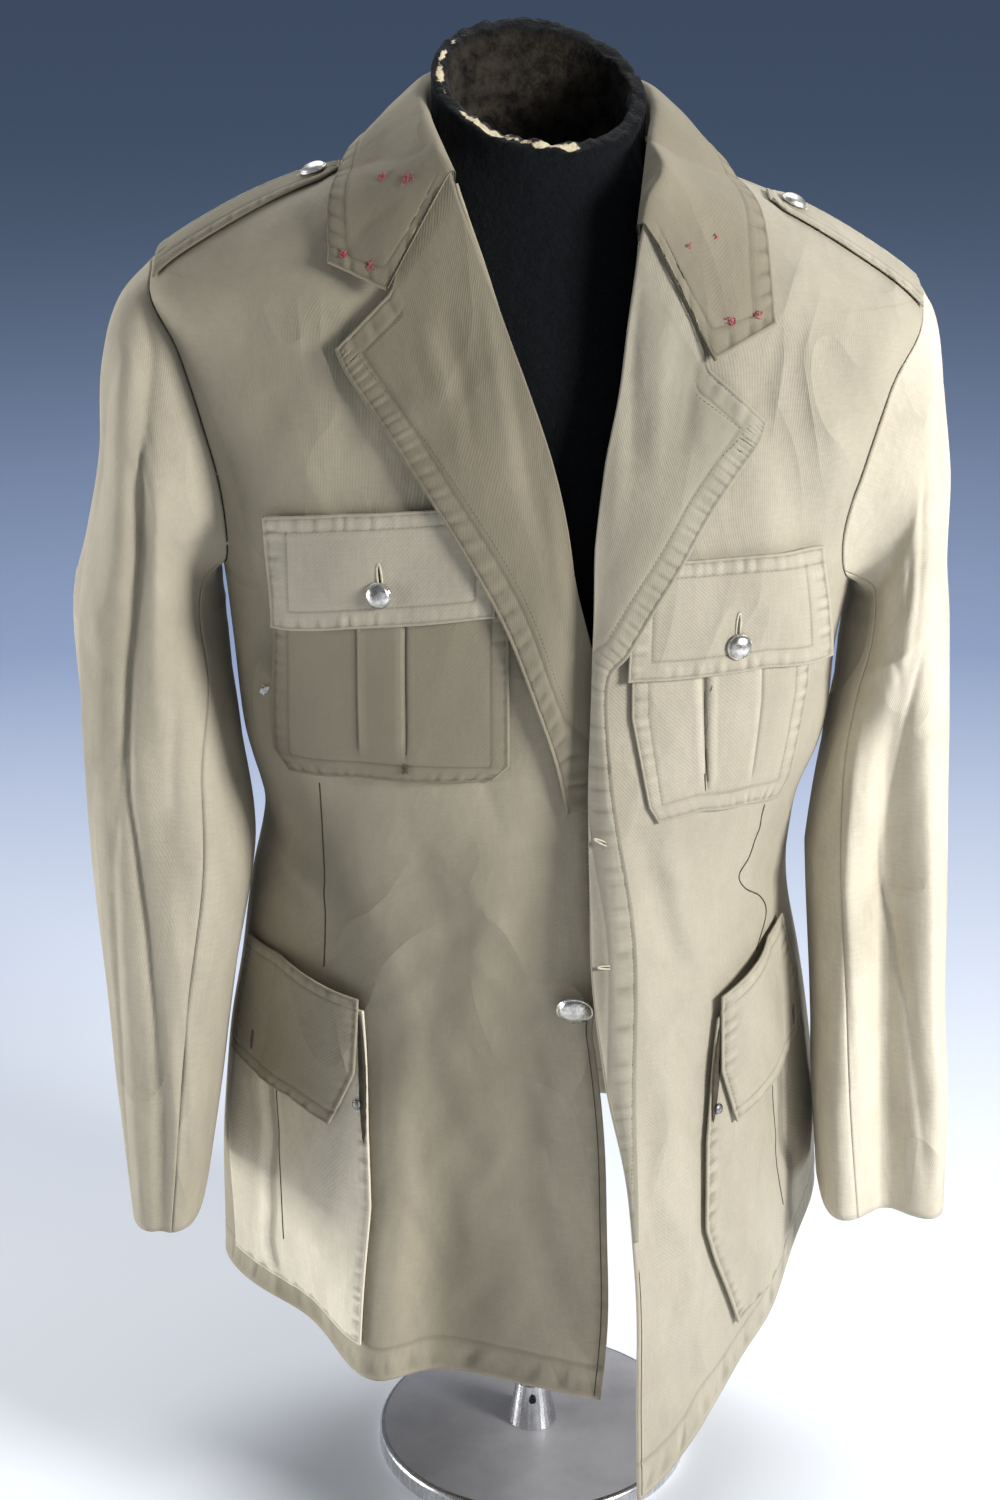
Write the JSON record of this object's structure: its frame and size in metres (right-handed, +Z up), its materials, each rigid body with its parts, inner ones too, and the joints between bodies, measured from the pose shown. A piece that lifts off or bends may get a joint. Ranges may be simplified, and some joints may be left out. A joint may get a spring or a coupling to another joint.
{
  "type": "military dress tunic on a dress form with a stand",
  "caption": "Khaki cotton drill tunic with lapels, patch pockets and shoulder straps, worn open on a black dress form on a pole with a round metal base.",
  "frame": {"origin": "centre of the underside of the round base", "axes": "+Z up along the pole, -Y towards the tunic's front, -X towards the wearer's right"},
  "size_m": [0.5548, 0.4135, 0.982],
  "materials": {
    "drill_cloth": "matt cotton drill",
    "jersey": "matt black jersey over foam",
    "button_metal": "worn white metal",
    "stand_steel": "satin",
    "screw_steel": "blackened"
  },
  "bodies": {
    "root": {"back": "drill_cloth", "chest_button_left": "button_metal", "chest_button_right": "button_metal", "chest_flap_left": "drill_cloth", "chest_flap_right": "drill_cloth", "chest_pocket_left": "drill_cloth", "chest_pocket_right": "drill_cloth", "collar": "drill_cloth", "form_torso": "jersey", "front_button": "button_metal", "front_left": "drill_cloth", "front_right": "drill_cloth", "lapel_left": "drill_cloth", "lapel_right": "drill_cloth", "pocket_stud_left": "button_metal", "pocket_stud_right": "button_metal", "set_screw": "screw_steel", "shoulder_strap_left": "drill_cloth", "shoulder_strap_right": "drill_cloth", "skirt_flap_left": "drill_cloth", "skirt_flap_right": "drill_cloth", "skirt_pocket_left": "drill_cloth", "skirt_pocket_right": "drill_cloth", "stand_base": "stand_steel", "stand_pole": "stand_steel", "stand_socket": "stand_steel", "strap_button_left": "button_metal", "strap_button_right": "button_metal", "top_sleeve_left": "drill_cloth", "top_sleeve_right": "drill_cloth", "under_sleeve_left": "drill_cloth", "under_sleeve_right": "drill_cloth"}
  },
  "joints": []
}
